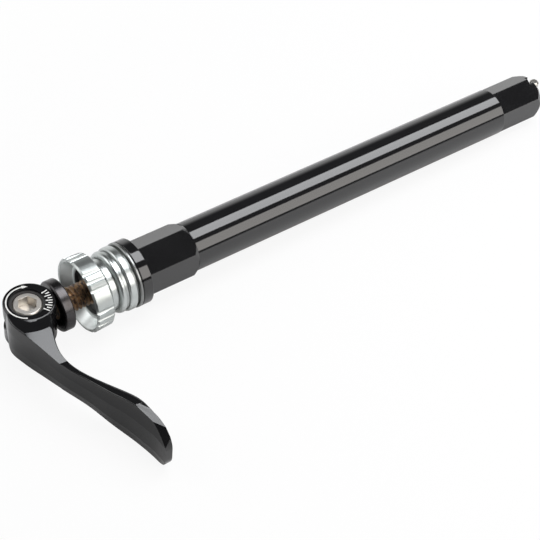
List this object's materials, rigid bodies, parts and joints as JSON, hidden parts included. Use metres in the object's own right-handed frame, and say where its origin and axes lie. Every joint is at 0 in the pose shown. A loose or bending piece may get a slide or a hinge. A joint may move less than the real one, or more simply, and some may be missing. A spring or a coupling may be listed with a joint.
{
  "type": "quick-release thru axle",
  "caption": "Black tubular bicycle axle with hexagonal ends, a cam lever, a plated adjusting nut and collar, and a cross pin that locks behind the far dropout.",
  "frame": {"origin": "middle of the journal, on the axle's axis", "axes": "+X along the axle from the lever towards the far end, +Z along the lever's pivot, blade towards -Y"},
  "size_m": [0.1979, 0.0718, 0.0228],
  "materials": {
    "black_anodised": "semi-gloss black anodised",
    "zinc_plate": "bright zinc plate",
    "spring_steel": "dark spring steel",
    "dark_steel": "dark blackened steel",
    "greased_bronze": "greased bronze thread",
    "rod_steel": "plain steel",
    "barrel_steel": "turned steel",
    "bush_polymer": "black polymer",
    "lever_black": "gloss black anodised, forged"
  },
  "bodies": {
    "axle": {"axle_tube": "black_anodised", "thrust_washer": "zinc_plate"},
    "follower": {"cam_follower": "dark_steel", "thread_sleeve": "greased_bronze"},
    "rod": {"tension_rod": "rod_steel", "lock_pin": "rod_steel", "pivot_barrel": "barrel_steel"},
    "lever": {"lever": "lever_black", "pivot_bush_upper": "bush_polymer", "pivot_bush_lower": "bush_polymer"},
    "collar": {"thrust_collar": "zinc_plate", "swivel_ring": "spring_steel"},
    "nut": {"adjusting_nut": "zinc_plate"}
  },
  "joints": [
    {"name": "lock_turn", "type": "hinge", "parent": "axle", "child": "follower", "pos_m": [0, 0, 0], "axis": [-1, 0, 0], "range_deg": [0, 90]},
    {"name": "cam_draw", "type": "slide", "parent": "follower", "child": "rod", "axis": [1, 0, 0], "range_m": [0, 0.001]},
    {"name": "lever_pivot", "type": "hinge", "parent": "rod", "child": "lever", "pos_m": [-0.11109, 0, 0], "axis": [0, 0, -1], "range_deg": [0, 150]},
    {"name": "nut_travel", "type": "slide", "parent": "follower", "child": "collar", "axis": [-1, 0, 0], "range_m": [0, 0.004]},
    {"name": "nut_turn", "type": "hinge", "parent": "collar", "child": "nut", "pos_m": [-0.09232, 0, 0], "axis": [-1, 0, 0], "range_deg": [0, 1152]}
  ],
  "couplings": [
    {"joint": "lever_pivot", "follows": "cam_draw", "rad_per_m": 2618},
    {"joint": "nut_turn", "follows": "nut_travel", "rad_per_m": 5026.5}
  ]
}
